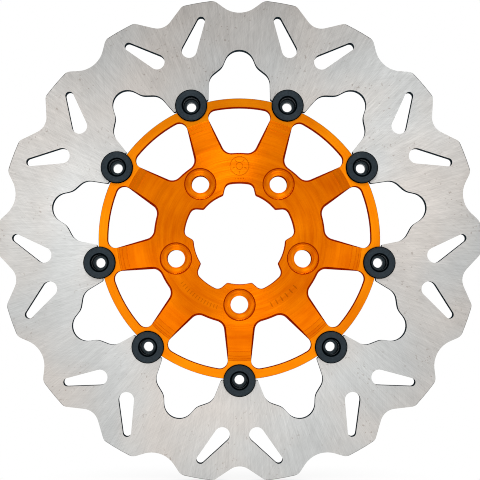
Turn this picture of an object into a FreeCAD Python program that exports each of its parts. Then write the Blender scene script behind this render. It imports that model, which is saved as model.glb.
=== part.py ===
import FreeCAD, Part
import math
import os
from collections import namedtuple

import Sketcher
from FreeCAD import Placement, Rotation, Vector

# Floating brake disc rotor for a motorcycle wheel.
#
# Every sub-part is drawn in the disc's own frame: the disc lies in the local XY plane, local +Z is
# the outboard side and z = 0 is the face that seats on the wheel hub.  UPRIGHT then stands the disc
# up, so that its axis is the world Y axis and the outboard side looks towards -Y.

UPRIGHT = Placement(Vector(0, 0, 0), Rotation(Vector(1, 0, 0), 90))
ORIGIN = Vector(0, 0, 0)
LOWEST = -90.0                # one hub bolt and one bobbin sit straight below the axis

# Name and size: millimetres, degrees where the name ends in _angle, or a plain count.
SIZES = [
    # hub and bolt circle
    ("bolt_count", 5), ("bolt_circle_radius", 41.275), ("bolt_hole_radius", 5.5),
    ("counterbore_radius", 9.5), ("counterbore_depth", 1.1), ("counterbore_chamfer", 0.5),
    ("counterbore_foot_fillet", 0.4), ("hub_blank_radius", 20.0),
    ("pilot_radius", 28.6), ("lobe_radius", 34.5), ("lobe_outer_angle", 14.3),
    ("lobe_inner_angle", 20.7), ("lobe_fillet", 4.2), ("land_fillet", 1.5), ("opening_chamfer", 0.4),
    # turned section of the carrier: radii from the centre outwards, then heights above the hub seat
    ("hub_pad_radius", 51.0), ("pad_step_radius", 51.5), ("hub_face_radius", 54.5),
    ("shoulder_radius", 60.0), ("slope_foot_radius", 69.9), ("step_one_radius", 70.3),
    ("step_two_radius", 72.8), ("step_three_radius", 73.1), ("step_four_radius", 74.5),
    ("step_five_radius", 74.8), ("step_six_radius", 75.7), ("rim_face_radius", 76.0),
    ("rim_outer_radius", 87.4),
    ("seat_level", 0.0), ("rim_back_level", 0.5), ("rim_front_level", 5.9), ("step_six_level", 6.1),
    ("step_five_level", 6.2), ("step_four_level", 6.5), ("step_three_level", 6.65),
    ("step_two_level", 7.0), ("step_one_level", 7.25), ("slope_foot_level", 7.6),
    ("shoulder_level", 8.25), ("hub_front_level", 8.5), ("rim_chamfer", 0.3),
    # windows of the carrier
    ("window_count", 9), ("window_outer_radius", 81.9), ("window_outer_angle", 15.4),
    ("window_inner_radius", 53.2), ("window_inner_angle", 9.2), ("window_outer_fillet", 5.0),
    ("window_inner_fillet", 6.0), ("draft_start_level", 5.6), ("draft_height", 3.0),
    ("draft_angle", 24.2),
    # shallow engraved marks on the hub face: a wheel badge and three bands of plain bars
    ("mark_depth", 0.15), ("mark_line", 0.6), ("badge_height", 44.6), ("badge_rim_radius", 5.8),
    ("badge_hub_radius", 2.1), ("badge_spoke_radius", 4.0), ("badge_spoke_length", 1.7),
    # bobbin circle and the half-round seats in the carrier and in the ring
    ("bobbin_circle_radius", 88.0), ("carrier_seat_radius", 7.05), ("ring_seat_radius", 7.1),
    # brake ring
    ("ring_back_level", 0.7), ("ring_thickness", 5.0), ("ring_radius", 150.0),
    # turned bevel on both rims of the ring, cut before the scallops: 0.4 mm at 45 degrees
    ("bevel_start_radius", 149.6), ("bevel_clear_radius", 150.5), ("ring_front_level", 5.7),
    ("front_bevel_level", 4.8), ("front_clear_level", 6.0), ("back_bevel_level", 1.6),
    ("back_clear_level", 0.4),
    ("bobbin_valley_radius", 138.5), ("bobbin_valley_fillet", 10.0), ("bobbin_crown_angle", 6.17),
    ("bobbin_crown_fillet", 5.0),
    ("window_valley_radius", 137.4), ("window_valley_fillet", 16.6), ("window_crown_angle", 6.05),
    ("window_crown_fillet", 6.5),
    ("tab_radius", 88.5), ("tab_side_offset", 19.4), ("tab_fillet", 1.2),
    ("arch_peak", 134.0), ("arch_fillet", 9.5), ("bump_offset", 10.75), ("bump_height", 107.3),
    ("bump_fillet", 9.0), ("ring_shoulder_offset", 19.05), ("ring_shoulder_height", 100.7),
    ("ring_shoulder_fillet", 8.5),
    ("slot_inner_radius", 121.8), ("slot_inner_angle", 5.04), ("slot_inner_end", 4.8),
    ("slot_outer_radius", 138.5), ("slot_outer_angle", 10.0), ("slot_outer_end", 2.55),
    # bobbin
    ("flange_radius", 10.0), ("flange_chamfer", 0.5), ("flange_under_level", 5.93),
    ("flange_face_level", 7.43), ("shank_radius", 7.0), ("shank_end_level", -2.8),
    ("shank_chamfer", 0.4), ("mouth_radius", 5.9), ("cup_radius", 4.9), ("cup_mouth_level", 6.75),
    ("cup_floor_level", 0.95), ("cup_foot_fillet", 0.8), ("bore_radius", 3.0),
    ("groove_radius", 6.7), ("groove_top_level", -0.88), ("groove_bottom_level", -1.98),
    # washers and retaining ring behind the disc
    ("washer_bore_radius", 7.1), ("washer_radius", 10.0), ("washer_back_level", -0.33),
    ("washer_thickness", 0.8), ("washer_chamfer", 0.1),
    ("wave_mean_level", -0.62), ("wave_amplitude", 0.13), ("wave_thickness", 0.2),
    ("wave_radius", 9.4), ("wave_count", 3),
    ("clip_back_level", -1.93), ("clip_thickness", 1.0), ("clip_inner_radius", 6.75),
    ("clip_outer_radius", 8.45), ("clip_eccentricity", 0.35), ("clip_gap_angle", 16.0),
    ("clip_lug_angle", 31.0), ("clip_root_angle", 34.0), ("clip_lug_radius", 10.1),
    ("clip_lug_fillet", 0.8),
    ("clip_hole_circle_radius", 8.5), ("clip_hole_angle", 23.5), ("clip_hole_radius", 0.75),
]
SIZE = dict(SIZES)

doc = FreeCAD.newDocument("brake_disc_rotor")


def write_sheet():
    """Put every driving size in the document's spreadsheet under its own name."""
    sheet = doc.addObject("Spreadsheet::Sheet", "sizes")
    for row, (name, value) in enumerate(SIZES, start=1):
        sheet.set("A%d" % row, name)
        sheet.set("B%d" % row, "%g" % value)
        sheet.setAlias("B%d" % row, name)
    doc.recompute()


# ---------------------------------------------------------------- outlines with rounded corners

# One corner of an outline: where the two edges would meet, the radius that rounds it off, and the
# centre of the edge leaving it (None for a straight edge).
Corner = namedtuple("Corner", "point fillet centre")


def at(radius, degrees):
    """The point at a radius and an anticlockwise angle from +X."""
    angle = math.radians(degrees)
    return Vector(radius * math.cos(angle), radius * math.sin(angle), 0)


def corner(point, fillet=0.0, centre=None):
    return Corner(point, fillet, centre)


def turned(point, degrees):
    return Rotation(Vector(0, 0, 1), degrees).multVec(point)


def left_of(point, start, end, centre):
    """How far a point lies to the left of an edge, and the unit direction that increases it."""
    if centre is None:
        along = (end - start).normalize()
        normal = Vector(-along.y, along.x, 0)
        return normal.dot(point - start), normal
    way = 1.0 if (start - centre).cross(end - centre).z > 0 else -1.0
    outward = point - centre
    distance = outward.Length
    return way * ((start - centre).Length - distance), outward * (-way / distance)


def round_corner(before, here, after):
    """Centre, two ends and turning side of the arc that rounds off one corner."""
    edge_in = (before.point, here.point, before.centre)
    edge_out = (here.point, after.point, here.centre)
    normal_in = left_of(here.point, *edge_in)[1]
    normal_out = left_of(here.point, *edge_out)[1]
    side = 1.0 if normal_in.cross(normal_out).z > 0 else -1.0
    offset = side * here.fillet
    centre = here.point + (normal_in + normal_out) * (offset / 2.0)
    for _ in range(30):
        gap_in, slope_in = left_of(centre, *edge_in)
        gap_out, slope_out = left_of(centre, *edge_out)
        miss_in, miss_out = offset - gap_in, offset - gap_out
        scale = slope_in.x * slope_out.y - slope_in.y * slope_out.x
        centre = centre + Vector((miss_in * slope_out.y - miss_out * slope_in.y) / scale,
                                 (miss_out * slope_in.x - miss_in * slope_out.x) / scale, 0)
    start = centre - left_of(centre, *edge_in)[1] * offset
    end = centre - left_of(centre, *edge_out)[1] * offset
    return centre, start, end, side


def arc(centre, start, end, way):
    """Arc about a centre from start to end; way is 1 for anticlockwise and -1 for clockwise."""
    if way < 0:
        start, end = end, start
    spoke_a, spoke_b = start - centre, end - centre
    return Part.ArcOfCircle(Part.Circle(centre, Vector(0, 0, 1), spoke_a.Length),
                            math.atan2(spoke_a.y, spoke_a.x), math.atan2(spoke_b.y, spoke_b.x))


def outline(corners):
    """Lines and arcs of the closed outline that runs round the given corners."""
    count = len(corners)
    pieces, ends = [], []
    for index, here in enumerate(corners):
        if here.fillet == 0:
            ends.append((here.point, here.point))
            continue
        centre, start, end, side = round_corner(corners[index - 1], here, corners[(index + 1) % count])
        pieces.append(arc(centre, start, end, side))
        ends.append((start, end))
    for index, here in enumerate(corners):
        start, end = ends[index][1], ends[(index + 1) % count][0]
        if here.centre is None:
            pieces.append(Part.LineSegment(start, end))
            continue
        way = (start - here.centre).cross(end - here.centre).z
        pieces.append(arc(here.centre, start, end, way))
    return pieces


def circle(centre, radius):
    return Part.Circle(centre, Vector(0, 0, 1), radius)


def disc_angles(count, first=LOWEST):
    return [first + 360.0 * index / count for index in range(int(count))]


# ---------------------------------------------------------------- building blocks for the bodies

def named(name):
    """The spreadsheet expression for one size."""
    return "sizes." + name


def new_body(label):
    body = doc.addObject("PartDesign::Body", label)
    body.Label = label
    return body


def add_sketch(body, name, geometry, level=None, plane="XY_Plane"):
    """Sketch on an origin plane of its body, moved along the axis to a height from the sheet."""
    sketch = body.newObject("Sketcher::SketchObject", body.Name + "_" + name)
    support = [feature for feature in body.Origin.OriginFeatures if feature.Role == plane]
    sketch.AttachmentSupport = [(support[0], "")]
    sketch.MapMode = "FlatFace"
    if level is not None:
        sketch.setExpression(".AttachmentOffset.Base.z", named(level))
    sketch.addGeometry(geometry, False)
    return sketch


def add_profile(body, name, corners):
    """Closed section for turning, on XZ: each corner is a (radius, height) pair of sheet names."""
    points = [Vector(SIZE[radius], SIZE[height], 0) for radius, height in corners]
    count = len(points)
    lines = [Part.LineSegment(points[i], points[(i + 1) % count]) for i in range(count)]
    sketch = add_sketch(body, name, lines, plane="XZ_Plane")
    for index, (radius, height) in enumerate(corners):
        sketch.addConstraint(Sketcher.Constraint("Coincident", index, 2, (index + 1) % count, 1))
        across = Sketcher.Constraint("DistanceX", -1, 1, index, 1, SIZE[radius])
        sketch.setExpression("Constraints[%d]" % sketch.addConstraint(across), named(radius))
        upward = Sketcher.Constraint("DistanceY", -1, 1, index, 1, SIZE[height])
        sketch.setExpression("Constraints[%d]" % sketch.addConstraint(upward), named(height))
    return sketch


def require_less(body, volume):
    """Stop if a cut has not taken material off its body."""
    if body.Shape.Volume > volume - 0.01:
        raise RuntimeError(body.Tip.Name + " removed nothing")


def turn(body, name, corners):
    """Solid of revolution about the local Z axis."""
    sketch = add_profile(body, name + "_section", corners)
    solid = body.newObject("PartDesign::Revolution", body.Name + "_" + name)
    solid.Profile = sketch
    solid.ReferenceAxis = (sketch, ["V_Axis"])
    solid.Angle = 360.0
    doc.recompute()
    return solid


def groove(body, name, corners):
    """Turned cut about the local Z axis."""
    volume = body.Shape.Volume
    sketch = add_profile(body, name + "_section", corners)
    cutter = body.newObject("PartDesign::Groove", body.Name + "_" + name)
    cutter.Profile = sketch
    cutter.ReferenceAxis = (sketch, ["V_Axis"])
    cutter.Angle = 360.0
    doc.recompute()
    require_less(body, volume)
    return cutter


def pad(body, name, sketch, thickness):
    solid = body.newObject("PartDesign::Pad", body.Name + "_" + name)
    solid.Profile = sketch
    solid.setExpression("Length", named(thickness))
    doc.recompute()
    return solid


def cut(body, name, sketch, depth=None, upward=False, draft=None):
    """Pocket from a sketch: through everything, or to a depth; optionally widening by a draft."""
    volume = body.Shape.Volume
    pocket = body.newObject("PartDesign::Pocket", body.Name + "_" + name)
    pocket.Profile = sketch
    pocket.Reversed = upward
    if depth is None:
        pocket.Type = "ThroughAll"
        pocket.Midplane = True
    else:
        pocket.setExpression("Length", named(depth))
    if draft is not None:
        pocket.setExpression("TaperAngle", named(draft))
    doc.recompute()
    require_less(body, volume)
    return pocket


def repeat(body, name, features, count):
    """Polar pattern of features about the disc axis."""
    pattern = body.newObject("PartDesign::PolarPattern", body.Name + "_" + name)
    pattern.Originals = features
    pattern.Axis = (features[0].Profile[0], ["N_Axis"])
    pattern.Angle = 360.0
    pattern.setExpression("Occurrences", named(count))
    body.Tip = pattern
    doc.recompute()
    return pattern


def dress(body, kind, name, size, wanted):
    """Chamfer or fillet on the edges of the body that answer to wanted(edge)."""
    base = body.Tip
    edges = ["Edge%d" % (i + 1) for i, edge in enumerate(base.Shape.Edges) if wanted(edge)]
    feature = body.newObject("PartDesign::" + kind, body.Name + "_" + name)
    feature.Base = (base, edges)
    feature.setExpression("Size" if kind == "Chamfer" else "Radius", named(size))
    doc.recompute()
    return feature


def lies_at(edge, level):
    """True for an edge that lies wholly in one plane across the axis."""
    box = edge.BoundBox
    return abs(box.ZMin - level) < 1e-4 and abs(box.ZMax - level) < 1e-4


def reach(edge):
    """Distance from the axis to the farthest end of an edge."""
    return max(math.hypot(end.X, end.Y) for end in edge.Vertexes)


def is_ring(edge, radius, level):
    """True for a circle (or part of one) of this radius at this height."""
    return (lies_at(edge, level) and isinstance(edge.Curve, Part.Circle)
            and abs(edge.Curve.Radius - radius) < 1e-4)


# ---------------------------------------------------------------- carrier

def carrier_section():
    """Half section of the turned blank, from the hub seat round to the hub face."""
    rim = [("rim_outer_radius", "rim_back_level"), ("rim_outer_radius", "rim_front_level"),
           ("rim_face_radius", "rim_front_level")]
    steps = [("step_%s_radius" % word, "step_%s_level" % word)
             for word in ("six", "five", "four", "three", "two", "one")]
    hub = [("slope_foot_radius", "slope_foot_level"), ("shoulder_radius", "shoulder_level"),
           ("hub_face_radius", "hub_front_level"), ("hub_blank_radius", "hub_front_level")]
    seat = [("hub_blank_radius", "seat_level"), ("hub_pad_radius", "seat_level"),
            ("pad_step_radius", "rim_back_level")]
    return seat + rim + steps + hub


def window_outline(middle):
    """One window: two flanks that follow the tapering spokes, between two concentric arcs."""
    outer, inner = SIZE["window_outer_radius"], SIZE["window_inner_radius"]
    outer_angle, inner_angle = SIZE["window_outer_angle"], SIZE["window_inner_angle"]
    return outline([
        corner(at(outer, middle - outer_angle), SIZE["window_outer_fillet"], ORIGIN),
        corner(at(outer, middle + outer_angle), SIZE["window_outer_fillet"]),
        corner(at(inner, middle + inner_angle), SIZE["window_inner_fillet"], ORIGIN),
        corner(at(inner, middle - inner_angle), SIZE["window_inner_fillet"]),
    ])


def opening_outline():
    """Centre opening: pilot lands under the bolts, with a lobe between each pair."""
    corners = []
    for middle in disc_angles(SIZE["bolt_count"], LOWEST + 180.0 / SIZE["bolt_count"]):
        for side, sheet_angle, radius, fillet, centre in (
                (-1, "lobe_inner_angle", "pilot_radius", "land_fillet", None),
                (-1, "lobe_outer_angle", "lobe_radius", "lobe_fillet", ORIGIN),
                (1, "lobe_outer_angle", "lobe_radius", "lobe_fillet", None),
                (1, "lobe_inner_angle", "pilot_radius", "land_fillet", ORIGIN)):
            point = at(SIZE[radius], middle + side * SIZE[sheet_angle])
            corners.append(corner(point, SIZE[fillet], centre))
    return outline(corners)


def bar(radius, degrees, length, width, centre=ORIGIN):
    """Bar pointing away from a centre, as a four-cornered outline."""
    middle = at(radius, 0)
    box = [middle + Vector(along * length / 2.0, across * width / 2.0, 0)
           for along, across in ((-1, -1), (1, -1), (1, 1), (-1, 1))]
    return outline([corner(centre + turned(point, degrees)) for point in box])


def bar_band(radius, middle, pitch, count, length, width):
    """Row of equal bars along an arc about the disc axis, centred on one angle."""
    first = middle - pitch * (count - 1) / 2.0
    return [edge for index in range(count)
            for edge in bar(radius, first + pitch * index, length, width)]


def hub_marks():
    """Plain engraved marks: a badge shaped like a spoked wheel, and bands of short bars."""
    badge, half = Vector(0, SIZE["badge_height"], 0), SIZE["mark_line"] / 2.0
    marks = []
    for name in ("badge_rim_radius", "badge_hub_radius"):
        marks += [circle(badge, SIZE[name] + half), circle(badge, SIZE[name] - half)]
    for degrees in disc_angles(SIZE["bolt_count"]):
        marks += bar(SIZE["badge_spoke_radius"], degrees, SIZE["badge_spoke_length"],
                     SIZE["mark_line"], badge)
    marks += bar_band(radius=36.9, middle=90.0, pitch=2.6, count=4, length=0.9, width=0.7)
    marks += bar_band(radius=45.6, middle=-53.0, pitch=4.6, count=6, length=3.0, width=0.8)
    marks += bar_band(radius=45.0, middle=-125.0, pitch=2.6, count=14, length=2.4, width=0.45)
    return marks


def make_carrier():
    body = new_body("carrier")
    turn(body, "blank", carrier_section())
    front = SIZE["hub_front_level"]

    window = add_sketch(body, "window", window_outline(LOWEST + 20.0))
    window_cut = cut(body, "window_cut", window)
    repeat(body, "windows", [window_cut], "window_count")
    draft = add_sketch(body, "window_draft", window_outline(LOWEST + 20.0), "draft_start_level")
    draft_cut = cut(body, "draft_cut", draft, "draft_height", True, "draft_angle")
    repeat(body, "window_drafts", [draft_cut], "window_count")

    cut(body, "opening_cut", add_sketch(body, "opening", opening_outline()))
    dress(body, "Chamfer", "opening_edge", "opening_chamfer",
          lambda edge: lies_at(edge, front) and reach(edge) < SIZE["lobe_radius"] + 0.1)

    bolts = [at(SIZE["bolt_circle_radius"], degrees) for degrees in disc_angles(SIZE["bolt_count"])]
    cut(body, "bolt_cut", add_sketch(body, "bolt_holes",
                                     [circle(point, SIZE["bolt_hole_radius"]) for point in bolts]))
    cut(body, "counterbore_cut",
        add_sketch(body, "counterbores",
                   [circle(point, SIZE["counterbore_radius"]) for point in bolts],
                   "hub_front_level"), "counterbore_depth")
    dress(body, "Fillet", "counterbore_foot", "counterbore_foot_fillet",
          lambda edge: is_ring(edge, SIZE["counterbore_radius"], front - SIZE["counterbore_depth"]))
    dress(body, "Chamfer", "counterbore_edge", "counterbore_chamfer",
          lambda edge: is_ring(edge, SIZE["counterbore_radius"], front))

    seats = [at(SIZE["bobbin_circle_radius"], degrees) for degrees in disc_angles(SIZE["window_count"])]
    cut(body, "seat_cut", add_sketch(body, "bobbin_seats",
                                     [circle(point, SIZE["carrier_seat_radius"]) for point in seats]))
    dress(body, "Chamfer", "rim_edge", "rim_chamfer",
          lambda edge: is_ring(edge, SIZE["rim_outer_radius"], SIZE["rim_front_level"])
          or is_ring(edge, SIZE["rim_outer_radius"], SIZE["rim_back_level"]))

    cut(body, "mark_cut", add_sketch(body, "marks", hub_marks(), "hub_front_level"), "mark_depth")
    body.Placement = UPRIGHT
    return body


# ---------------------------------------------------------------- brake ring

def ring_outer_corners(bobbin):
    """Scalloped rim over one bobbin pitch: a valley at the bobbin, one at the window between."""
    window = bobbin + 180.0 / SIZE["window_count"]
    rim = SIZE["ring_radius"]
    corners = []
    for middle, kind in ((bobbin, "bobbin"), (window, "window")):
        reach = SIZE[kind + "_crown_angle"]
        rounding = SIZE[kind + "_crown_fillet"]
        corners += [
            corner(at(rim, middle - reach), rounding),
            corner(at(SIZE[kind + "_valley_radius"], middle), SIZE[kind + "_valley_fillet"]),
            corner(at(rim, middle + reach), rounding, ORIGIN),
        ]
    return corners


def ring_inner_corners(bobbin):
    """Inner edge over one pitch: the half-round seat and its tab, then the arched window."""
    window = bobbin + 180.0 / SIZE["window_count"]
    pitch, seat, tab = SIZE["bobbin_circle_radius"], SIZE["ring_seat_radius"], SIZE["tab_radius"]
    seat_angle = math.degrees(math.acos((pitch ** 2 + tab ** 2 - seat ** 2) / (2.0 * pitch * tab)))
    side = SIZE["tab_side_offset"]
    profile = [
        (Vector(side, math.sqrt(tab ** 2 - side ** 2), 0), SIZE["tab_fillet"]),
        (Vector(SIZE["ring_shoulder_offset"], SIZE["ring_shoulder_height"], 0),
         SIZE["ring_shoulder_fillet"]),
        (Vector(SIZE["bump_offset"], SIZE["bump_height"], 0), SIZE["bump_fillet"]),
    ]
    to_window = window - 90.0
    rising = [corner(turned(point, to_window), fillet) for point, fillet in profile]
    falling = [corner(turned(Vector(-point.x, point.y, 0), to_window), fillet)
               for point, fillet in reversed(profile)]
    falling[-1] = falling[-1]._replace(centre=ORIGIN)
    arch = corner(turned(Vector(0, SIZE["arch_peak"], 0), to_window), SIZE["arch_fillet"])
    return [corner(at(tab, bobbin - seat_angle), 0.0, at(pitch, bobbin)),
            corner(at(tab, bobbin + seat_angle), 0.0, ORIGIN)] + rising + [arch] + falling


def slot_outline(bobbin, side):
    """Tapered slot: two unequal round ends joined by their common tangents."""
    inner = at(SIZE["slot_inner_radius"], bobbin + side * SIZE["slot_inner_angle"])
    outer = at(SIZE["slot_outer_radius"], bobbin + side * SIZE["slot_outer_angle"])
    inner_end, outer_end = SIZE["slot_inner_end"], SIZE["slot_outer_end"]
    along = outer - inner
    heading = math.degrees(math.atan2(along.y, along.x))
    lean = math.degrees(math.acos((inner_end - outer_end) / along.Length))
    inner_left, inner_right = (inner + at(inner_end, heading + sign * lean) for sign in (1, -1))
    outer_left, outer_right = (outer + at(outer_end, heading + sign * lean) for sign in (1, -1))
    return [Part.LineSegment(inner_left, outer_left), arc(outer, outer_left, outer_right, -1),
            Part.LineSegment(outer_right, inner_right), arc(inner, inner_right, inner_left, -1)]


def make_brake_ring():
    body = new_body("brake_ring")
    outer, inner = [], []
    for bobbin in disc_angles(SIZE["window_count"]):
        outer += ring_outer_corners(bobbin)
        inner += ring_inner_corners(bobbin)
    plate = add_sketch(body, "plate", outline(outer) + outline(inner), "ring_back_level")
    pad(body, "plate_pad", plate, "ring_thickness")
    slots = add_sketch(body, "slots", slot_outline(LOWEST, 1) + slot_outline(LOWEST, -1))
    repeat(body, "slot_pattern", [cut(body, "slot_cut", slots)], "window_count")
    for side in ("front", "back"):
        face = "ring_%s_level" % side
        groove(body, side + "_bevel", [
            ("bevel_start_radius", face), ("bevel_clear_radius", side + "_bevel_level"),
            ("bevel_clear_radius", side + "_clear_level"),
            ("bevel_start_radius", side + "_clear_level"),
        ])
    body.Placement = UPRIGHT
    return body


# ---------------------------------------------------------------- bobbins and what holds them

def bobbin_place(index):
    """Placement on the bobbin circle, with local +X pointing away from the disc axis."""
    degrees = disc_angles(SIZE["window_count"])[index]
    spin = Rotation(Vector(0, 0, 1), degrees)
    return UPRIGHT.multiply(Placement(at(SIZE["bobbin_circle_radius"], degrees), spin))


def make_bobbin(index):
    body = new_body("bobbin_%d" % (index + 1))
    turn(body, "turned", [
        ("bore_radius", "shank_end_level"), ("shank_radius", "shank_end_level"),
        ("shank_radius", "groove_bottom_level"), ("groove_radius", "groove_bottom_level"),
        ("groove_radius", "groove_top_level"), ("shank_radius", "groove_top_level"),
        ("shank_radius", "flange_under_level"), ("flange_radius", "flange_under_level"),
        ("flange_radius", "flange_face_level"), ("mouth_radius", "flange_face_level"),
        ("cup_radius", "cup_mouth_level"), ("cup_radius", "cup_floor_level"),
        ("bore_radius", "cup_floor_level"),
    ])
    dress(body, "Chamfer", "flange_edge", "flange_chamfer",
          lambda edge: is_ring(edge, SIZE["flange_radius"], SIZE["flange_face_level"]))
    dress(body, "Chamfer", "shank_edge", "shank_chamfer",
          lambda edge: is_ring(edge, SIZE["shank_radius"], SIZE["shank_end_level"]))
    dress(body, "Fillet", "cup_foot", "cup_foot_fillet",
          lambda edge: is_ring(edge, SIZE["cup_radius"], SIZE["cup_floor_level"]))
    body.Placement = bobbin_place(index)
    return body


def make_flat_washer(index):
    body = new_body("flat_washer_%d" % (index + 1))
    rings = [circle(ORIGIN, SIZE["washer_radius"]), circle(ORIGIN, SIZE["washer_bore_radius"])]
    pad(body, "blank", add_sketch(body, "face", rings, "washer_back_level"), "washer_thickness")
    dress(body, "Chamfer", "edge", "washer_chamfer",
          lambda edge: is_ring(edge, SIZE["washer_radius"], SIZE["washer_back_level"])
          or is_ring(edge, SIZE["washer_radius"],
                     SIZE["washer_back_level"] + SIZE["washer_thickness"]))
    body.Placement = bobbin_place(index)
    return body


def wave_loop(radius, lift):
    """Closed curve round the washer that rises and falls along the axis."""
    samples = 16 * int(SIZE["wave_count"])
    points = []
    for step in range(samples):
        degrees = 360.0 * step / samples
        rise = SIZE["wave_amplitude"] * math.cos(math.radians(SIZE["wave_count"] * degrees))
        points.append(at(radius, degrees) + Vector(0, 0, SIZE["wave_mean_level"] + lift + rise))
    curve = Part.BSplineCurve()
    curve.interpolate(points, PeriodicFlag=True)
    return curve.toShape()


def make_wave_washer(index):
    """Thin spring washer: a band of even thickness bent into waves."""
    half = SIZE["wave_thickness"] / 2.0
    inner, outer = SIZE["washer_bore_radius"], SIZE["wave_radius"]
    loops = [wave_loop(inner, -half), wave_loop(outer, -half), wave_loop(outer, half),
             wave_loop(inner, half)]
    faces = [Part.makeRuledSurface(loops[side], loops[(side + 1) % 4]) for side in range(4)]
    washer = doc.addObject("Part::Feature", "wave_washer_%d" % (index + 1))
    washer.Label = washer.Name
    shell = Part.makeShell([face for strip in faces for face in strip.Faces])
    shell.sewShape()
    washer.Shape = Part.makeSolid(shell)
    washer.Placement = bobbin_place(index)
    return washer


def clip_outline():
    """Retaining ring: widest opposite the gap, with a drilled lug on each side of it."""
    heart = Vector(-SIZE["clip_eccentricity"], 0, 0)
    bore, back = SIZE["clip_inner_radius"], SIZE["clip_outer_radius"]
    gap, lug, root = SIZE["clip_gap_angle"], SIZE["clip_lug_angle"], SIZE["clip_root_angle"]
    tip, fillet = SIZE["clip_lug_radius"], SIZE["clip_lug_fillet"]
    return outline([
        corner(at(bore, gap)), corner(at(tip, gap), fillet, ORIGIN),
        corner(at(tip, lug), fillet), corner(heart + at(back, root), 0.0, heart),
        corner(heart + at(back, 180.0), 0.0, heart),
        corner(heart + at(back, -root)), corner(at(tip, -lug), fillet, ORIGIN),
        corner(at(tip, -gap), fillet), corner(at(bore, -gap), 0.0, ORIGIN),
        corner(at(bore, 180.0), 0.0, ORIGIN),
    ])


def make_circlip(index):
    body = new_body("circlip_%d" % (index + 1))
    holes = [circle(at(SIZE["clip_hole_circle_radius"], side * SIZE["clip_hole_angle"]),
                    SIZE["clip_hole_radius"]) for side in (1, -1)]
    face = add_sketch(body, "face", clip_outline() + holes, "clip_back_level")
    pad(body, "plate", face, "clip_thickness")
    body.Placement = bobbin_place(index)
    return body


# ---------------------------------------------------------------- build, check and write

def check(piece):
    for item in [piece] + list(getattr(piece, "Group", [])):
        if "Invalid" in item.State or "Error" in item.State:
            raise RuntimeError("%s is not sound: %s" % (item.Name, item.State))
    shape = piece.Shape
    if shape.isNull() or not shape.isValid() or len(shape.Solids) != 1 or shape.Volume <= 0:
        raise RuntimeError("%s has no single sound solid" % piece.Label)


write_sheet()
pieces = [make_brake_ring(), make_carrier()]
for place in range(int(SIZE["window_count"])):
    pieces += [make_bobbin(place), make_flat_washer(place), make_wave_washer(place),
               make_circlip(place)]
doc.recompute()

os.makedirs("parts", exist_ok=True)
for piece in pieces:
    check(piece)
    piece.Shape.exportStep(os.path.join("parts", piece.Label + ".step"))
    print("%-16s %10.1f mm3" % (piece.Label, piece.Shape.Volume))
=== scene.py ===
"""Looks for a floating brake disc rotor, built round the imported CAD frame.

The disc's axis is Y and its outboard side looks towards -Y. Radii and heights on the disc are in
millimetres, heights above the face that seats on the hub. Colours are screen values up to 255.
"""

import math

import bpy
from mathutils import Matrix, Vector


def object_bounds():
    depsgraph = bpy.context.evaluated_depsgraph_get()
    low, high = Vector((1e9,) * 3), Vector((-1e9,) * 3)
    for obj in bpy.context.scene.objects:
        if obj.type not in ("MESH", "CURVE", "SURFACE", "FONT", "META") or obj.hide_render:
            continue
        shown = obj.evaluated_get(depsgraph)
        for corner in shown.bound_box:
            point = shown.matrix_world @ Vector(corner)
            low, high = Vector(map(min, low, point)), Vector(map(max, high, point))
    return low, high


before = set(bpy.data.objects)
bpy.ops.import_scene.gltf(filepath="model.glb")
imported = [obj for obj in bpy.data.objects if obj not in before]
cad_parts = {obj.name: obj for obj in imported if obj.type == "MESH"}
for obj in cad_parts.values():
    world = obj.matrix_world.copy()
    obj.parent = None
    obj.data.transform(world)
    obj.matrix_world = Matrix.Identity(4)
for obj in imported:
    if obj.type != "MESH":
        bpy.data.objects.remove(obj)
cad_low, cad_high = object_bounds()
scene = bpy.context.scene
scene.view_settings.view_transform = "Standard"
scene.view_settings.look = "None"
scene.cycles.filter_width = 1.0       # crisp edges, as in a sharpened studio shot


# ---------------------------------------------------------------- places and colours

BOLT_COUNT, BOLT_CIRCLE = 5, 41.275   # hub bolts, and the radius of their circle
COUNTERBORE_RADIUS = 9.5              # about a bolt's axis
COUNTERBORE_BELOW = 6.5               # a height between the counterbores' floors and the rear face
ENGRAVED_LEVEL = 8.35                 # height of the floors of the engraved marks
ENGRAVED_WITHIN = 53.0                # radius of the part of the hub that carries the marks
HUB_RADIUS = 57.0                     # inside it the carrier counts as hub, outside as spokes
STEPS_RADIUS = 73.0                   # middle of the turned steps on the spokes
RIM_RADIUS = 76.0                     # where the carrier's flat rim starts

BOBBIN_COUNT, BOBBIN_CIRCLE = 9, 88.0
CUP_RADIUS, MOUTH_RADIUS = 4.9, 5.9   # the bobbin's cup, and its bevelled mouth
FLANGE_BACK = 5.95                    # height just above the back of the bobbin's flange

STEEL_COOL, STEEL_WARM, STEEL_SPECK = (194, 195, 194), (200, 195, 190), (124, 108, 96)
STEEL_WALL_DARK, STEEL_WALL_LIGHT = (112, 114, 116), (146, 147, 148)
STEEL_UNLIT_DARK, STEEL_UNLIT_LIGHT = (12, 22, 27), (38, 49, 55)

FACE_DARK, FACE_LIGHT = (206, 84, 0), (253, 135, 3)
RIM_DARK, RIM_LIGHT = (224, 107, 2), (254, 149, 9)
WALL_DARK, WALL_LIGHT = (178, 62, 0), (206, 84, 0)
HUB_UNLIT, SPOKE_UNLIT, STEP_UNLIT = (138, 30, 0), (124, 20, 0), (222, 98, 0)

SLATE_DARK, SLATE_LIGHT = (27, 36, 42), (36, 46, 53)
# the cup's floor, and the painted shade next to its wall
CUP_FLOOR, CUP_SHADE = (50, 62, 68), (16, 24, 29)
BOBBIN_UNLIT = (1, 4, 6)

# rotation of the highlight, in turns, for marks that run round the axis and out from it
ROUND_MARKS, RADIAL_MARKS = 0.25, 0.0
FINE_RELIEF, COARSE_RELIEF = 0.00001, 0.00002     # depth of surface relief, metres


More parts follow.
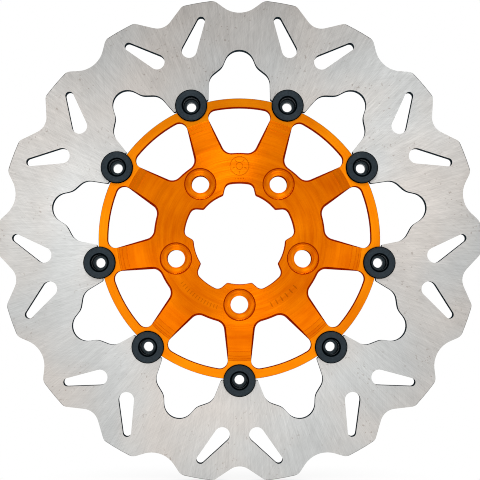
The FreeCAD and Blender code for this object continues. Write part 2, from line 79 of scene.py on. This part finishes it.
def linear(red, green, blue):
    """Linear colour with alpha from a screen colour."""
    def channel(value):
        value /= 255.0
        return value / 12.92 if value <= 0.04045 else ((value + 0.055) / 1.055) ** 2.4
    return (channel(red), channel(green), channel(blue), 1.0)


# ---------------------------------------------------------------- node helpers

class Nodes:
    """Short way to write down a node tree."""

    def __init__(self, tree):
        self.tree = tree
        tree.nodes.clear()

    def add(self, kind, **values):
        node = self.tree.nodes.new(kind)
        for key, value in values.items():
            setattr(node, key, value)
        return node

    def feed(self, target, source):
        """Gives a socket a link or a fixed value."""
        if isinstance(source, bpy.types.NodeSocket):
            self.tree.links.new(source, target)
        else:
            target.default_value = source

    # numbers and colours

    def math(self, operation, *sources):
        node = self.add("ShaderNodeMath", operation=operation)
        for socket, source in zip(node.inputs, sources):
            self.feed(socket, source)
        return node.outputs[0]

    def product(self, *factors):
        result = factors[0]
        for factor in factors[1:]:
            result = self.math("MULTIPLY", result, factor)
        return result

    def ramp(self, value, low, high, start=0.0, end=1.0, smooth=False):
        """Goes from start to end while the value goes from low to high, and stays there."""
        node = self.add("ShaderNodeMapRange", clamp=True)
        node.interpolation_type = "SMOOTHSTEP" if smooth else "LINEAR"
        for socket, source in zip(node.inputs, (value, low, high, start, end)):
            self.feed(socket, source)
        return node.outputs[0]

    def blend(self, share, none, full):
        """A number that goes from "none" to "full" while the share goes from 0 to 1."""
        return self.ramp(share, 0.0, 1.0, none, full)

    def band(self, value, middle, half_width, edge):
        """1 within a band of values, falling to 0 over an edge on both sides."""
        away = self.math("ABSOLUTE", self.math("SUBTRACT", value, middle))
        return self.ramp(away, half_width, half_width + edge, 1.0, 0.0, smooth=True)

    def mix(self, factor, first, second):
        node = self.add("ShaderNodeMix", data_type="RGBA")
        self.feed(node.inputs[0], factor)
        self.feed(node.inputs[6], first)
        self.feed(node.inputs[7], second)
        return node.outputs[2]

    def shades(self, factor, first, second):
        """A colour between two screen colours."""
        return self.mix(factor, linear(*first), linear(*second))

    def scale(self, colour, factor):
        """A colour times a number."""
        node = self.add("ShaderNodeVectorMath", operation="SCALE")
        self.feed(node.inputs[0], colour)
        self.feed(node.inputs["Scale"], factor)
        return node.outputs[0]

    def noise(self, vector, scale=1.0, detail=2.0, roughness=0.5):
        node = self.add("ShaderNodeTexNoise")
        for name, source in (("Vector", vector), ("Scale", scale), ("Detail", detail),
                             ("Roughness", roughness)):
            self.feed(node.inputs[name], source)
        return node.outputs["Fac"]

    # vectors

    def combine(self, x, y, z):
        node = self.add("ShaderNodeCombineXYZ")
        for socket, source in zip(node.inputs, (x, y, z)):
            self.feed(socket, source)
        return node.outputs[0]

    def split(self, vector):
        node = self.add("ShaderNodeSeparateXYZ")
        self.feed(node.inputs[0], vector)
        return node.outputs

    def dot(self, first, second):
        node = self.add("ShaderNodeVectorMath", operation="DOT_PRODUCT")
        self.feed(node.inputs[0], first)
        self.feed(node.inputs[1], second)
        return node.outputs["Value"]

    def geometry(self, name):
        return self.add("ShaderNodeNewGeometry").outputs[name]

    # places on the disc

    def place(self):
        return self.add("ShaderNodeTexCoord").outputs["Object"]

    def level(self):
        """Height above the hub seat, outboard side up."""
        return self.math("MULTIPLY", self.split(self.place())[1], -1000.0)

    def length(self, x, z):
        """Distance in millimetres from two offsets in metres."""
        square = self.math("ADD", self.math("MULTIPLY", x, x), self.math("MULTIPLY", z, z))
        return self.math("MULTIPLY", self.math("SQRT", square), 1000.0)

    def polar(self):
        """Radius, and angle in radians, about the disc's axis."""
        x, _, z = self.split(self.place())
        return self.length(x, z), self.math("ARCTAN2", z, x)

    def around(self, radius, angle, along, across):
        """Seamless texture place on a circle: "across" cells per radian, "along" per mm of radius."""
        return self.combine(self.math("MULTIPLY", self.math("COSINE", angle), across),
                            self.math("MULTIPLY", self.math("SINE", angle), across),
                            self.math("MULTIPLY", radius, along))

    def nearest(self, count, circle):
        """Metres right of and above the nearest of equal places on a circle, one of them lowest."""
        x, _, z = self.split(self.place())
        pitch = 2.0 * math.pi / count
        lowest = -math.pi / 2.0
        angle = self.math("SUBTRACT", self.math("ARCTAN2", z, x), lowest)
        steps = self.math("ROUND", self.math("DIVIDE", angle, pitch))
        middle = self.math("MULTIPLY_ADD", steps, pitch, lowest)
        right = self.math("MULTIPLY_ADD", self.math("COSINE", middle), -circle / 1000.0, x)
        above = self.math("MULTIPLY_ADD", self.math("SINE", middle), -circle / 1000.0, z)
        return right, above

    # directions

    def travel(self, right, above):
        """Direction of travel round a centre, from the offsets to it."""
        turn = self.add("ShaderNodeVectorTransform", vector_type="VECTOR", convert_from="OBJECT",
                        convert_to="WORLD")
        self.feed(turn.inputs[0], self.combine(self.math("MULTIPLY", above, -1.0), 0.0, right))
        return turn.outputs[0]

    def facing(self):
        """1 on faces square to the disc's axis, 0 on the walls."""
        return self.math("ABSOLUTE", self.split(self.geometry("Normal"))[1])

    def outward(self):
        """1 on walls that face away from the disc's axis, 0 on faces, -1 on walls that face it."""
        x, _, z = self.split(self.place())
        away = self.add("ShaderNodeVectorMath", operation="NORMALIZE")
        self.feed(away.inputs[0], self.combine(x, 0.0, z))
        return self.dot(self.add("ShaderNodeTexCoord").outputs["Normal"], away.outputs[0])

    def seen(self):
        """1 on a surface square to the line of sight, 0 on one seen edge-on."""
        return self.math("ABSOLUTE", self.dot(self.geometry("Normal"), self.geometry("Incoming")))


def new_material(name):
    """Material with an empty Principled surface; returns it, its nodes and the shader."""
    material = bpy.data.materials.new(name)
    material.use_nodes = True
    nodes = Nodes(material.node_tree)
    shader = nodes.add("ShaderNodeBsdfPrincipled")
    nodes.output = nodes.add("ShaderNodeOutputMaterial")
    nodes.feed(nodes.output.inputs["Surface"], shader.outputs["BSDF"])
    return material, nodes, shader


def set_surface(nodes, shader, **values):
    """Feeds inputs of the Principled shader, by short names."""
    names = {"colour": "Base Color", "metallic": "Metallic", "roughness": "Roughness",
             "specular": "Specular IOR Level", "normal": "Normal", "tangent": "Tangent",
             "anisotropic": "Anisotropic", "rotation": "Anisotropic Rotation"}
    for key, source in values.items():
        nodes.feed(shader.inputs[names[key]], source)


def darken(nodes, shader, lit, dark):
    """Shows a painted dark shade, a matte colour, instead of the shader where "lit" falls to 0."""
    painted_shade = nodes.add("ShaderNodeBsdfDiffuse")
    nodes.feed(painted_shade.inputs["Color"], dark)
    mixed = nodes.add("ShaderNodeMixShader")
    nodes.feed(mixed.inputs[0], lit)
    nodes.feed(mixed.inputs[1], painted_shade.outputs[0])
    nodes.feed(mixed.inputs[2], shader.outputs["BSDF"])
    nodes.feed(nodes.output.inputs["Surface"], mixed.outputs[0])


def bump(nodes, height, distance, strength):
    node = nodes.add("ShaderNodeBump")
    nodes.feed(node.inputs["Height"], height)
    nodes.feed(node.inputs["Distance"], distance)
    nodes.feed(node.inputs["Strength"], strength)
    return node.outputs["Normal"]


def face_share(nodes):
    """1 on faces and small bevels, 0 on walls and on the steep sides of the windows."""
    return nodes.ramp(nodes.facing(), 0.5, 0.6)


def bevel_share(nodes):
    """1 on bevels, fillets and walls, 0 on flat faces and gentle slopes."""
    return nodes.ramp(nodes.facing(), 0.75, 0.97, 1.0, 0.0)


def lit_walls(nodes, on_face):
    """0 on the walls seen edge-on from before or behind the disc, where painted shade is shown; 1
    elsewhere.
    """
    along_axis = nodes.math("ABSOLUTE", nodes.split(nodes.geometry("Incoming"))[1])
    lit = nodes.math("MAXIMUM", nodes.ramp(nodes.seen(), 0.45, 0.9, smooth=True),
                     nodes.ramp(along_axis, 0.5, 0.9, 1.0, 0.0, smooth=True))
    return nodes.math("MAXIMUM", on_face, lit)


# ---------------------------------------------------------------- materials

def make_ring_steel():
    """Ground stainless face: fine radial scratches, faint mottling and specks; cut walls painted in a
    dark shade where seen edge-on.
    """
    material, nodes, shader = new_material("ring_steel")
    place = nodes.place()
    x, _, z = nodes.split(place)
    radius, angle = nodes.polar()
    swept = nodes.math("ADD", angle, nodes.math("MULTIPLY", radius, 0.006))
    grain = nodes.noise(nodes.around(radius, angle, 0.14, 300.0), 1.0, 3.0, 0.65)
    long_grain = nodes.noise(nodes.around(radius, angle, 0.02, 70.0))
    cross_grain = nodes.noise(nodes.around(radius, swept, 0.09, 200.0))
    mottle = nodes.noise(place, 26.0, 4.0, 0.6)
    warm = nodes.noise(place, 15.0)
    specks = nodes.math("MULTIPLY",
                        nodes.ramp(nodes.noise(place, 620.0, 1.0, 0.4), 0.68, 0.75, smooth=True),
                        nodes.ramp(nodes.noise(place, 60.0, 1.0), 0.42, 0.6))

    # painted shade: the face darkens a little from the slots out to the scallops, and its bevels are
    # darkened in colour
    face = nodes.shades(nodes.ramp(warm, 0.38, 0.62), STEEL_COOL, STEEL_WARM)
    level = nodes.product(nodes.ramp(grain, 0.25, 0.75, 0.86, 1.14),
                          nodes.ramp(long_grain, 0.3, 0.7, 0.96, 1.04),
                          nodes.ramp(cross_grain, 0.3, 0.7, 0.96, 1.04),
                          nodes.ramp(mottle, 0.3, 0.7, 0.925, 1.075),
                          nodes.ramp(radius, 105.0, 150.0, 1.02, 0.85),
                          nodes.blend(bevel_share(nodes), 1.0, 0.45))
    face = nodes.mix(nodes.math("MULTIPLY", specks, 0.42), nodes.scale(face, level),
                     linear(*STEEL_SPECK))

    # the cut walls carry fine lines across the thickness; where they are seen edge-on, a painted dark
    # shade in the same lines replaces the lit metal
    streak = nodes.noise(nodes.combine(x, 0.0, z), 900.0, 3.0, 0.6)
    wall = nodes.shades(nodes.ramp(streak, 0.3, 0.7), STEEL_WALL_DARK, STEEL_WALL_LIGHT)
    on_face = face_share(nodes)
    darken(nodes, shader, lit_walls(nodes, on_face),
           nodes.shades(streak, STEEL_UNLIT_DARK, STEEL_UNLIT_LIGHT))
    set_surface(nodes, shader, colour=nodes.mix(on_face, wall, face), metallic=1.0,
                roughness=nodes.blend(on_face, 0.5, nodes.ramp(grain, 0.2, 0.8, 0.34, 0.46)),
                anisotropic=nodes.blend(on_face, 0.0, 0.6), tangent=nodes.travel(x, z),
                rotation=RADIAL_MARKS, normal=bump(nodes, grain, COARSE_RELIEF, 0.3))
    return material


def make_carrier_orange():
    """Orange anodised aluminium: turning marks on the faces, redder cut walls, and painted deep red
    shade on walls seen edge-on and on the hub's bevels.
    """
    material, nodes, shader = new_material("carrier_orange")
    x, _, z = nodes.split(nodes.place())
    radius, angle = nodes.polar()
    bolt_right, bolt_above = nodes.nearest(BOLT_COUNT, BOLT_CIRCLE)
    bolt_radius = nodes.length(bolt_right, bolt_above)
    bolt_angle = nodes.math("ARCTAN2", bolt_above, bolt_right)

    on_face = face_share(nodes)
    on_hub = nodes.ramp(radius, HUB_RADIUS - 1.0, HUB_RADIUS, 1.0, 0.0)
    on_spokes = nodes.ramp(radius, HUB_RADIUS, HUB_RADIUS + 3.0)
    on_rim = nodes.ramp(radius, RIM_RADIUS - 0.2, RIM_RADIUS + 0.2)
    floor_end = COUNTERBORE_RADIUS - 0.2
    in_counterbore = nodes.math(
        "MULTIPLY", nodes.ramp(bolt_radius, floor_end - 0.2, floor_end, 1.0, 0.0),
        nodes.ramp(nodes.level(), COUNTERBORE_BELOW - 0.5, COUNTERBORE_BELOW))

    # turning marks about the disc's axis and about the bolts, with clouds in the dye
    fine = nodes.noise(nodes.around(radius, angle, 1.6, 1.6), 1.0, 3.0, 0.65)
    broad = nodes.noise(nodes.around(radius, angle, 0.30, 2.2))
    swirl = nodes.noise(nodes.around(bolt_radius, bolt_angle, 0.7, 0.8))
    cloud = nodes.noise(nodes.place(), 42.0, 3.0, 0.55)
    cloudy = nodes.blend(on_spokes, 1.0, 1.5)
    texture = nodes.math("MULTIPLY_ADD", fine, nodes.math("SUBTRACT", 2.0, cloudy), broad)
    texture = nodes.math("MULTIPLY_ADD", cloud, cloudy, texture)
    disc_tone = nodes.ramp(texture, 0.84, 2.16)
    # on the counterbores' floors: swirl marks about the bolts, with painted shade darkening the tone
    # towards the wall
    bolt_tone = nodes.product(nodes.ramp(swirl, 0.32, 0.70),
                              nodes.ramp(bolt_radius, floor_end - 1.7, floor_end, 1.0, 0.2))
    tone = nodes.blend(in_counterbore, disc_tone, bolt_tone)

    # the dye looks red where it is dark and yellow where it is bright
    face = nodes.mix(on_rim, nodes.shades(tone, FACE_DARK, FACE_LIGHT),
                     nodes.shades(disc_tone, RIM_DARK, RIM_LIGHT))
    # painted shade: the floors of the engraved marks and the band of turned steps are darkened in
    # colour
    engraved = nodes.math("MULTIPLY", nodes.band(nodes.level(), ENGRAVED_LEVEL, 0.03, 0.04),
                          nodes.ramp(radius, ENGRAVED_WITHIN - 0.5, ENGRAVED_WITHIN, 1.0, 0.0))
    on_steps = nodes.band(radius, STEPS_RADIUS, 3.0, 0.3)
    shade = nodes.product(nodes.blend(engraved, 1.0, 0.70), nodes.blend(on_steps, 1.0, 0.88))
    lines = nodes.noise(nodes.combine(x, 0.0, z), 700.0, 3.0, 0.6)
    wall = nodes.shades(nodes.ramp(lines, 0.3, 0.7), WALL_DARK, WALL_LIGHT)

    # painted shade: the hub's bevels and the short slopes between the turned steps show darker matte
    # shade colours instead of the lit metal, as do walls seen edge-on; those slopes lean straight out
    # from the axis
    hub_bevel = nodes.math("MULTIPLY", bevel_share(nodes), on_hub)
    step_slope = nodes.math("MULTIPLY", nodes.ramp(nodes.outward(), 0.35, 0.5),
                            nodes.band(radius, STEPS_RADIUS, 3.2, 0.2))
    lit = nodes.product(lit_walls(nodes, on_face), nodes.blend(hub_bevel, 1.0, 0.08),
                        nodes.blend(step_slope, 1.0, 0.35))
    painted_shade = nodes.mix(step_slope, nodes.shades(on_hub, SPOKE_UNLIT, HUB_UNLIT), linear(*STEP_UNLIT))
    darken(nodes, shader, lit, painted_shade)

    set_surface(nodes, shader, colour=nodes.mix(on_face, wall, nodes.scale(face, shade)),
                metallic=1.0,
                roughness=nodes.blend(on_face, 0.45, nodes.ramp(fine, 0.2, 0.8, 0.28, 0.40)),
                anisotropic=nodes.product(on_face, nodes.blend(on_spokes, 0.90, 0.42),
                                          nodes.blend(on_rim, 1.0, 1.6)),
                tangent=nodes.travel(nodes.blend(in_counterbore, x, bolt_right),
                                     nodes.blend(in_counterbore, z, bolt_above)),
                rotation=nodes.blend(on_rim, ROUND_MARKS, RADIAL_MARKS),
                normal=bump(nodes, fine, COARSE_RELIEF, 0.25))
    return material


def make_bobbin_black():
    """Black anodised aluminium: turned slate face, edges painted a near-black shade, and a satin cup.
    """
    material, nodes, shader = new_material("bobbin_black")
    right, above = nodes.nearest(BOBBIN_COUNT, BOBBIN_CIRCLE)
    radius = nodes.length(right, above)
    speckle = nodes.noise(nodes.place(), 900.0, 2.0, 0.6)
    rings = nodes.noise(nodes.combine(nodes.math("MULTIPLY", radius, 2.2), 0.0, 0.0), 1.0, 2.0, 0.6)
    face = nodes.shades(nodes.ramp(speckle, 0.3, 0.7), SLATE_DARK, SLATE_LIGHT)
    # turning rings in the face's tone, and painted shade darkening it towards its outer edge
    face = nodes.scale(face, nodes.product(nodes.ramp(rings, 0.3, 0.7, 0.88, 1.12),
                                           nodes.ramp(radius, 8.4, 9.3, 1.0, 0.75)))
    # in the cup, painted shade darkens the colour from the middle out to the wall
    cup = nodes.shades(nodes.ramp(radius, CUP_RADIUS - 1.0, CUP_RADIUS - 0.2), CUP_FLOOR, CUP_SHADE)
    in_cup = nodes.ramp(radius, CUP_RADIUS - 0.1, CUP_RADIUS + 0.1, 1.0, 0.0)

    # only the flat of the flange, the cup and what lies behind the flange shine; elsewhere a painted
    # near-black shade is shown
    on_flange = nodes.math("MULTIPLY", nodes.ramp(nodes.facing(), 0.90, 0.99),
                           nodes.ramp(radius, MOUTH_RADIUS - 0.1, MOUTH_RADIUS + 0.25))
    behind = nodes.ramp(nodes.level(), FLANGE_BACK - 0.05, FLANGE_BACK, 1.0, 0.0)
    lit = nodes.math("MAXIMUM", on_flange, nodes.math("MAXIMUM", in_cup, behind))
    darken(nodes, shader, lit, linear(*BOBBIN_UNLIT))
    set_surface(nodes, shader, colour=nodes.mix(in_cup, face, cup), metallic=0.4,
                roughness=nodes.ramp(speckle, 0.3, 0.7, 0.34, 0.46), specular=0.25,
                anisotropic=0.5, tangent=nodes.travel(right, above), rotation=ROUND_MARKS,
                normal=bump(nodes, speckle, FINE_RELIEF, 0.3))
    return material


def make_plated(name, dark, light, roughness):
    """Plated or phosphated small hardware with a fine tumbled grain."""
    material, nodes, shader = new_material(name)
    place = nodes.place()
    tumble = nodes.noise(place, 1500.0, 2.0, 0.6)
    cloud = nodes.noise(place, 260.0)
    colour = nodes.scale(nodes.shades(nodes.ramp(cloud, 0.3, 0.7), dark, light),
                         nodes.ramp(tumble, 0.25, 0.75, 0.92, 1.08))
    set_surface(nodes, shader, colour=colour, metallic=1.0,
                roughness=nodes.ramp(tumble, 0.25, 0.75, roughness - 0.06, roughness + 0.06),
                normal=bump(nodes, tumble, FINE_RELIEF, 0.3))
    return material


def dress_nodes():
    """Gives each CAD piece the material of its kind, which is its name without the number."""
    materials = {
        "brake_ring": make_ring_steel(),
        "carrier": make_carrier_orange(),
        "bobbin": make_bobbin_black(),
        "flat_washer": make_plated("washer_steel", (176, 178, 180), (196, 197, 196), 0.32),
        "wave_washer": make_plated("spring_steel", (128, 128, 132), (150, 150, 152), 0.30),
        "circlip": make_plated("clip_steel", (44, 44, 48), (70, 70, 74), 0.38),
    }
    for name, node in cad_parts.items():
        kind = name if name in materials else name.rsplit("_", 1)[0]
        node.data.materials.clear()
        node.data.materials.append(materials[kind])


# ---------------------------------------------------------------- studio

FLOOR_SIZE = 60.0             # metres, so wide that its edge is not seen
FLOOR_GLOW = 1.3              # how bright the floor looks in the metal, times white
CONTACT_REACH = 0.05          # metres over which the disc shades the floor

LENS, SENSOR = 71.92, 36.0    # millimetres
LENS_SHIFT = (0.0215, 0.0192)
CAMERA_PLACE = (-0.008, -0.600, -0.032)
CAMERA_AZIMUTH, CAMERA_ELEVATION = -0.188, -2.418     # degrees

# name, place, power in watts, width and height; all aim at the middle of the disc
LIGHTS = (
    ("key", (-0.2, -0.9, 1.4), 22.0, 0.9, 0.6),
    ("low", (-0.40, -0.9, -0.12), 0.3, 0.3, 0.3),
    ("side", (0.9, -1.2, 0.1), 0.6, 0.5, 0.5),
)


def make_world():
    """White to the camera; for reflections, bright before and behind the disc, dimmer at its sides."""
    world = bpy.data.worlds.new("studio")
    scene.world = world
    world.use_nodes = True
    nodes = Nodes(world.node_tree)
    _, y, z = nodes.split(nodes.add("ShaderNodeTexCoord").outputs["Generated"])
    glow = nodes.math("MULTIPLY",
                      nodes.ramp(nodes.math("ABSOLUTE", y), 0.25, 1.0, 0.50, 0.80, smooth=True),
                      nodes.ramp(z, -0.1, 0.7, 1.0, 0.85))
    seen = nodes.add("ShaderNodeLightPath").outputs["Is Camera Ray"]
    background = nodes.add("ShaderNodeBackground")
    nodes.feed(background.inputs["Color"], (1.0, 1.0, 1.0, 1.0))
    nodes.feed(background.inputs["Strength"], nodes.blend(seen, glow, 1.0))
    nodes.feed(nodes.add("ShaderNodeOutputWorld").inputs["Surface"], background.outputs[0])


def make_floor(level):
    """Pale floor, past white in reflections, that keeps a faint contact shadow under the disc."""
    bpy.ops.mesh.primitive_plane_add(size=FLOOR_SIZE, location=(0.0, 0.0, level))
    floor = bpy.context.active_object
    floor.name = "floor"
    material = bpy.data.materials.new("floor")
    material.use_nodes = True
    nodes = Nodes(material.node_tree)
    contact = nodes.add("ShaderNodeAmbientOcclusion")
    nodes.feed(contact.inputs["Distance"], CONTACT_REACH)
    direct = nodes.ramp(contact.outputs["AO"], 0.2, 1.0, 0.85, 1.0)
    seen = nodes.add("ShaderNodeLightPath").outputs["Is Camera Ray"]
    glow = nodes.add("ShaderNodeEmission")
    nodes.feed(glow.inputs["Strength"], nodes.blend(seen, FLOOR_GLOW, direct))
    nodes.feed(nodes.add("ShaderNodeOutputMaterial").inputs["Surface"], glow.outputs[0])
    floor.data.materials.append(material)


def add_light(name, place, power, width, height):
    """Soft rectangular light that aims at the middle of the disc and stays out of the picture."""
    data = bpy.data.lights.new(name, "AREA")
    data.energy = power
    data.shape = "RECTANGLE"
    data.size = width
    data.size_y = height
    light = bpy.data.objects.new(name, data)
    light.location = place
    light.rotation_euler = (-Vector(place)).to_track_quat("-Z", "Y").to_euler()
    light.visible_camera = False
    scene.collection.objects.link(light)


def make_camera():
    """Long lens nearly square to the disc, a little below its axis, shifted to centre the disc."""
    data = bpy.data.cameras.new("camera")
    data.sensor_width = SENSOR
    data.lens = LENS
    data.shift_x, data.shift_y = LENS_SHIFT
    azimuth, elevation = math.radians(CAMERA_AZIMUTH), math.radians(CAMERA_ELEVATION)
    look = Vector((-math.sin(azimuth) * math.cos(elevation),
                   math.cos(azimuth) * math.cos(elevation), -math.sin(elevation)))
    camera = bpy.data.objects.new("camera", data)
    camera.matrix_world = (Matrix.Translation(CAMERA_PLACE)
                           @ look.to_track_quat("-Z", "Y").to_matrix().to_4x4())
    scene.collection.objects.link(camera)
    scene.camera = camera


dress_nodes()
make_world()
make_floor(cad_low.z)
for light in LIGHTS:
    add_light(*light)
make_camera()
